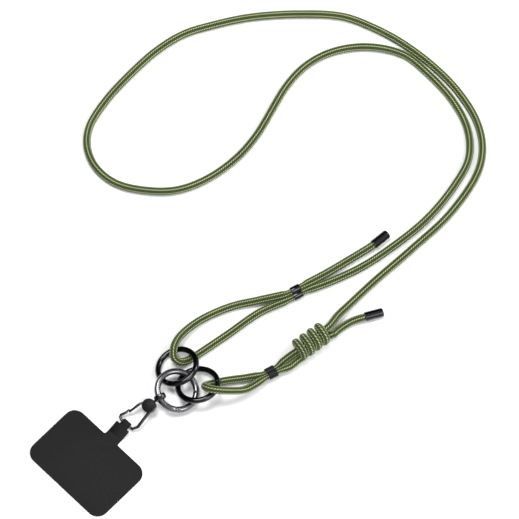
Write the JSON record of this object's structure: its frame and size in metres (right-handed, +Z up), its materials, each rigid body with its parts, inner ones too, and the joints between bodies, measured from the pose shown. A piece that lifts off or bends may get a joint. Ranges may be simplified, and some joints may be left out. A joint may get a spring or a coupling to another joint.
{
  "type": "phone lanyard",
  "caption": "Crossbody phone lanyard: braided cord with a sliding adjuster knot, linked rings, a round spring-gate carabiner, a swivel snap hook and a flat tether tab.",
  "frame": {"origin": "centre of the tether tab's underside, the flat face that lies against the phone", "axes": "+Z up, out of the tab's upper face; the tab's neck points 45.6 degrees from +X towards +Y, and the cord lies in the +X +Y quarter"},
  "size_m": [0.2685, 0.3192, 0.0167],
  "materials": {
    "cord": "olive two-tone braid",
    "black_metal": "polished black nickel",
    "gunmetal": "polished dark gunmetal",
    "spring_steel": "bright drawn wire",
    "drum_cap": "satin black",
    "tab_fabric": "matte black coated fabric"
  },
  "bodies": {
    "cord": {"cord_main": "cord", "cord_lower_loop": "cord", "cord_tail": "cord", "adjuster_knot": "cord", "end_cap_upper": "black_metal", "end_cap_lower": "black_metal"},
    "bead_upper": {"bead_upper": "black_metal"},
    "bead_lower": {"bead_lower": "black_metal"},
    "ring_upper": {"ring_upper": "black_metal"},
    "ring_lower": {"ring_lower": "black_metal"},
    "carabiner": {"carabiner_body": "gunmetal", "carabiner_gate_pin": "gunmetal"},
    "carabiner_gate": {"carabiner_gate": "gunmetal", "carabiner_gate_spring": "spring_steel"},
    "swivel_eye": {"swivel_eye": "gunmetal"},
    "hook": {"hook_body": "gunmetal", "hook_cap": "drum_cap", "hook_gate_pin": "spring_steel", "hook_gate_spring": "spring_steel"},
    "hook_gate": {"hook_gate": "gunmetal"},
    "tab": {"tether_tab": "tab_fabric"}
  },
  "joints": [
    {"name": "bead_upper_slide", "type": "slide", "parent": "cord", "child": "bead_upper", "axis": [0.8704, 0.4924, 0], "range_m": [-0.002, 0.002]},
    {"name": "bead_lower_slide", "type": "slide", "parent": "cord", "child": "bead_lower", "axis": [0.8746, 0.4848, 0], "range_m": [-0.002, 0.002]},
    {"name": "ring_upper_turn", "type": "hinge", "parent": "cord", "child": "ring_upper", "pos_m": [0.0528, 0.0579, 0.00604], "axis": [-0.3031, 0.1958, 0.9326], "continuous": true},
    {"name": "ring_lower_turn", "type": "hinge", "parent": "cord", "child": "ring_lower", "pos_m": [0.0649, 0.0464, 0.00627], "axis": [-0.1554, 0.3146, 0.9364], "continuous": true},
    {"name": "carabiner_turn", "type": "hinge", "parent": "cord", "child": "carabiner", "pos_m": [0.0527, 0.0428, 0.00651], "axis": [0.2262, -0.0796, 0.9708], "range_deg": [-15, 15]},
    {"name": "carabiner_gate_open", "type": "hinge", "parent": "carabiner", "child": "carabiner_gate", "pos_m": [0.05348, 0.03128, 0.00539], "axis": [0.2262, -0.0796, 0.9708], "range_deg": [0, 20], "stiffness_Nm_per_rad": 0.02, "springref_deg": -11.46},
    {"name": "eye_swing", "type": "hinge", "parent": "carabiner", "child": "swivel_eye", "pos_m": [0.0425, 0.03764, 0.00846], "axis": [-0.4184, 0.8921, 0.1706], "range_deg": [-30, 30]},
    {"name": "hook_swivel", "type": "hinge", "parent": "swivel_eye", "child": "hook", "pos_m": [0.03663, 0.03317, 0.00662], "axis": [0.7714, 0.5883, 0.2425], "continuous": true},
    {"name": "hook_gate_open", "type": "hinge", "parent": "hook", "child": "hook_gate", "pos_m": [0.03663, 0.03317, 0.00662], "axis": [-0.1928, -0.1471, 0.9701], "range_deg": [0, 25], "stiffness_Nm_per_rad": 0.01, "springref_deg": -11.46},
    {"name": "tab_swing", "type": "hinge", "parent": "hook", "child": "tab", "pos_m": [0.02316, 0.02365, 0.0025], "axis": [0.7082, -0.7052, 0.0339], "range_deg": [-60, 60]}
  ]
}
